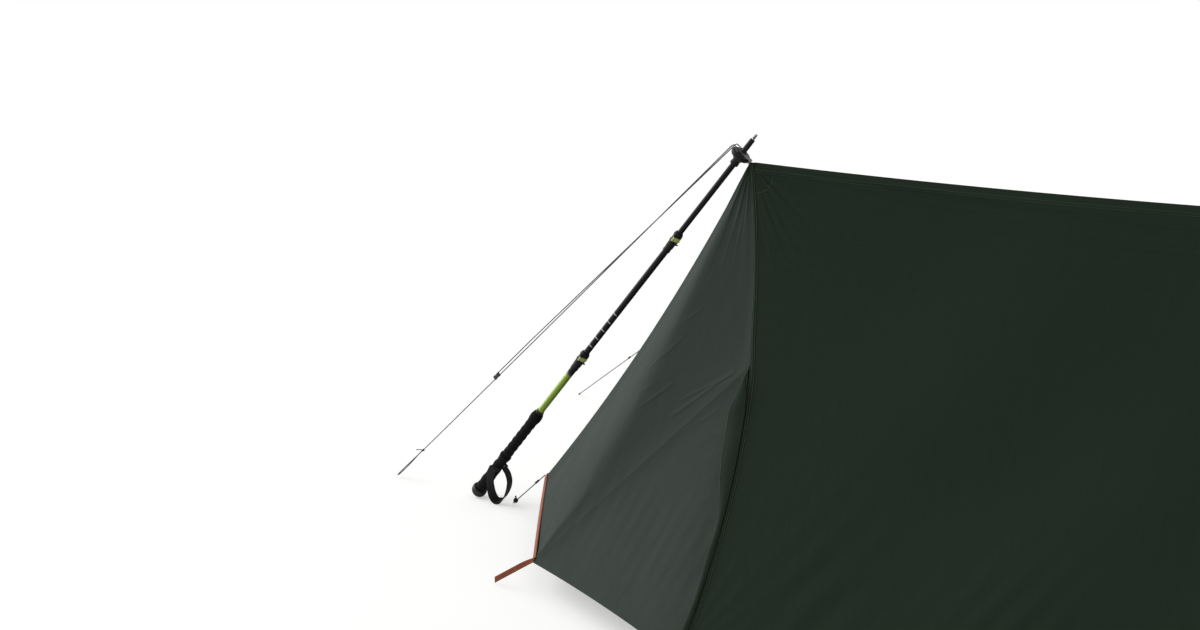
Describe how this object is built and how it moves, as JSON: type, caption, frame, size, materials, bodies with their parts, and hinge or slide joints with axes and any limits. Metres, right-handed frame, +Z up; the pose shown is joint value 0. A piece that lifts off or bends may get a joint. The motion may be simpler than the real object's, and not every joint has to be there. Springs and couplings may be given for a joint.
{
  "type": "ultralight trekking-pole tent",
  "caption": "Dark green ridge tent pitched on leaning upside-down trekking poles, with zipped porch doors, guy lines with sliders, rust hem tape and a bathtub floor.",
  "frame": {"origin": "on the ground under the middle of the ridge", "axes": "+X along the ridge, +Z up; the end at -X is the one in the picture, and the picture looks at it from the -Y side"},
  "size_m": [4.0614, 1.8638, 1.0458],
  "materials": {
    "fly_cloth": "coated woven cloth, satin",
    "end_cloth": "coated woven cloth, satin",
    "ridge_cloth": "coated woven cloth, satin",
    "floor_cloth": "heavier coated cloth, satin",
    "insect_mesh": "fine knitted mesh",
    "hem_webbing": "rust woven tape, matt",
    "apex_webbing": "pale grey woven tape, matt",
    "strap_webbing": "black woven tape, matt",
    "guy_cord": "grey braided cord",
    "corner_cord": "dark braided cord",
    "slider_plastic": "moulded, fine matt",
    "black_tube": "black, satin",
    "lime_tube": "lime green, gloss",
    "lime_plastic": "lime green, satin",
    "black_plastic": "black, fine matt",
    "basket_plastic": "dark grey with a pale rim",
    "black_foam": "closed-cell foam, matt",
    "knob_rubber": "olive grey, matt",
    "tip_steel": "bare metal",
    "zip_metal": "dark lacquered"
  },
  "bodies": {
    "tent": {"far_side_hem_tape": "hem_webbing", "far_side_panel": "fly_cloth", "floor_tray": "floor_cloth", "left_apex_tab": "apex_webbing", "left_corner_cord": "corner_cord", "left_end_hem_tape": "hem_webbing", "left_end_panel_door_side": "end_cloth", "left_end_panel_plain_side": "end_cloth", "left_guy_line": "guy_cord", "left_mesh_wall": "insect_mesh", "left_pole_basket": "basket_plastic", "left_pole_ferrule": "black_plastic", "left_pole_lower_tube": "black_tube", "left_pole_tip": "tip_steel", "left_side_guy_line": "guy_cord", "near_side_hem_tape": "hem_webbing", "near_side_panel": "fly_cloth", "ridge_band": "ridge_cloth", "right_apex_tab": "apex_webbing", "right_corner_cord": "corner_cord", "right_end_hem_tape": "hem_webbing", "right_end_panel_door_side": "end_cloth", "right_end_panel_plain_side": "end_cloth", "right_guy_line": "guy_cord", "right_mesh_wall": "insect_mesh", "right_pole_basket": "basket_plastic", "right_pole_ferrule": "black_plastic", "right_pole_lower_tube": "black_tube", "right_pole_tip": "tip_steel", "right_side_guy_line": "guy_cord"},
    "left_pole_middle": {"left_pole_middle_tube": "black_tube", "left_pole_lock_1_clamp": "black_plastic"},
    "left_pole_lock_1_lever": {"left_pole_lock_1_lever": "lime_plastic"},
    "left_pole_upper": {"left_pole_upper_tube": "lime_tube", "left_pole_lock_2_clamp": "black_plastic", "left_pole_foam_sleeve": "black_foam", "left_pole_grip": "black_foam", "left_pole_knob": "knob_rubber"},
    "left_pole_lock_2_lever": {"left_pole_lock_2_lever": "lime_plastic"},
    "left_pole_wrist_strap": {"left_pole_wrist_strap": "strap_webbing"},
    "left_door": {"left_door_panel": "end_cloth"},
    "left_zip_slider": {"left_zip_slider": "zip_metal"},
    "left_guy_slider": {"left_guy_slider": "slider_plastic"},
    "left_corner_adjuster": {"left_corner_adjuster": "slider_plastic"},
    "left_side_guy_adjuster": {"left_side_guy_adjuster": "slider_plastic"},
    "right_pole_middle": {"right_pole_middle_tube": "black_tube", "right_pole_lock_1_clamp": "black_plastic"},
    "right_pole_lock_1_lever": {"right_pole_lock_1_lever": "lime_plastic"},
    "right_pole_upper": {"right_pole_upper_tube": "lime_tube", "right_pole_lock_2_clamp": "black_plastic", "right_pole_foam_sleeve": "black_foam", "right_pole_grip": "black_foam", "right_pole_knob": "knob_rubber"},
    "right_pole_lock_2_lever": {"right_pole_lock_2_lever": "lime_plastic"},
    "right_pole_wrist_strap": {"right_pole_wrist_strap": "strap_webbing"},
    "right_door": {"right_door_panel": "end_cloth"},
    "right_zip_slider": {"right_zip_slider": "zip_metal"},
    "right_guy_slider": {"right_guy_slider": "slider_plastic"},
    "right_corner_adjuster": {"right_corner_adjuster": "slider_plastic"},
    "right_side_guy_adjuster": {"right_side_guy_adjuster": "slider_plastic"}
  },
  "joints": [
    {"name": "left_pole_middle_slide", "type": "slide", "parent": "tent", "child": "left_pole_middle", "axis": [0.6184, 0, 0.7859], "range_m": [0, 0.21]},
    {"name": "left_pole_upper_slide", "type": "slide", "parent": "left_pole_middle", "child": "left_pole_upper", "axis": [0.6184, 0, 0.7859], "range_m": [0, 0.36]},
    {"name": "left_pole_lock_1_lever_hinge", "type": "hinge", "parent": "left_pole_middle", "child": "left_pole_lock_1_lever", "pos_m": [-1.14109, -0.0137, 0.7829], "axis": [-0.6184, 0, -0.7859], "range_deg": [0, 110]},
    {"name": "left_pole_lock_2_lever_hinge", "type": "hinge", "parent": "left_pole_upper", "child": "left_pole_lock_2_lever", "pos_m": [-1.40516, -0.0147, 0.44733], "axis": [-0.6184, 0, -0.7859], "range_deg": [0, 110]},
    {"name": "left_pole_wrist_strap_swing", "type": "hinge", "parent": "left_pole_upper", "child": "left_pole_wrist_strap", "pos_m": [-1.65725, 0, 0.10363], "axis": [0, -1, 0], "range_deg": [0, 30]},
    {"name": "left_door_hinge", "type": "hinge", "parent": "tent", "child": "left_door", "pos_m": [-1.3, -0.39, 0.06], "axis": [-0.6449, -0.2785, -0.7118], "range_deg": [0, 120]},
    {"name": "left_zip_slide", "type": "hinge", "parent": "left_door", "child": "left_zip_slider", "pos_m": [-1.93321, -1.70304, 1.26239], "axis": [0.8241, -0.4121, 0.3886], "range_deg": [0, 16.1]},
    {"name": "left_guy_slider_slide", "type": "slide", "parent": "tent", "child": "left_guy_slider", "axis": [0.7166, 0, 0.6975], "range_m": [0, 0.12]},
    {"name": "left_corner_adjuster_slide", "type": "slide", "parent": "tent", "child": "left_corner_adjuster", "axis": [-0.7186, 0, -0.6954], "range_m": [0, 0.06]},
    {"name": "left_side_guy_adjuster_slide", "type": "slide", "parent": "tent", "child": "left_side_guy_adjuster", "axis": [0.6935, -0.5323, 0.4854], "range_m": [-0.1, 0.15]},
    {"name": "right_pole_middle_slide", "type": "slide", "parent": "tent", "child": "right_pole_middle", "axis": [-0.6184, 0, 0.7859], "range_m": [0, 0.21]},
    {"name": "right_pole_upper_slide", "type": "slide", "parent": "right_pole_middle", "child": "right_pole_upper", "axis": [-0.6184, 0, 0.7859], "range_m": [0, 0.36]},
    {"name": "right_pole_lock_1_lever_hinge", "type": "hinge", "parent": "right_pole_middle", "child": "right_pole_lock_1_lever", "pos_m": [1.14109, 0.0137, 0.7829], "axis": [0.6184, 0, -0.7859], "range_deg": [0, 110]},
    {"name": "right_pole_lock_2_lever_hinge", "type": "hinge", "parent": "right_pole_upper", "child": "right_pole_lock_2_lever", "pos_m": [1.40516, 0.0147, 0.44733], "axis": [0.6184, 0, -0.7859], "range_deg": [0, 110]},
    {"name": "right_pole_wrist_strap_swing", "type": "hinge", "parent": "right_pole_upper", "child": "right_pole_wrist_strap", "pos_m": [1.65725, 0, 0.10363], "axis": [0, 1, 0], "range_deg": [0, 30]},
    {"name": "right_door_hinge", "type": "hinge", "parent": "tent", "child": "right_door", "pos_m": [1.3, 0.39, 0.06], "axis": [0.6449, 0.2785, -0.7118], "range_deg": [0, 120]},
    {"name": "right_zip_slide", "type": "hinge", "parent": "right_door", "child": "right_zip_slider", "pos_m": [1.93321, 1.70304, 1.26239], "axis": [-0.8241, 0.4121, 0.3886], "range_deg": [0, 16.1]},
    {"name": "right_guy_slider_slide", "type": "slide", "parent": "tent", "child": "right_guy_slider", "axis": [-0.7166, 0, 0.6975], "range_m": [0, 0.12]},
    {"name": "right_corner_adjuster_slide", "type": "slide", "parent": "tent", "child": "right_corner_adjuster", "axis": [0.7186, 0, -0.6954], "range_m": [0, 0.06]},
    {"name": "right_side_guy_adjuster_slide", "type": "slide", "parent": "tent", "child": "right_side_guy_adjuster", "axis": [-0.6935, 0.5323, 0.4854], "range_m": [-0.1, 0.15]}
  ]
}
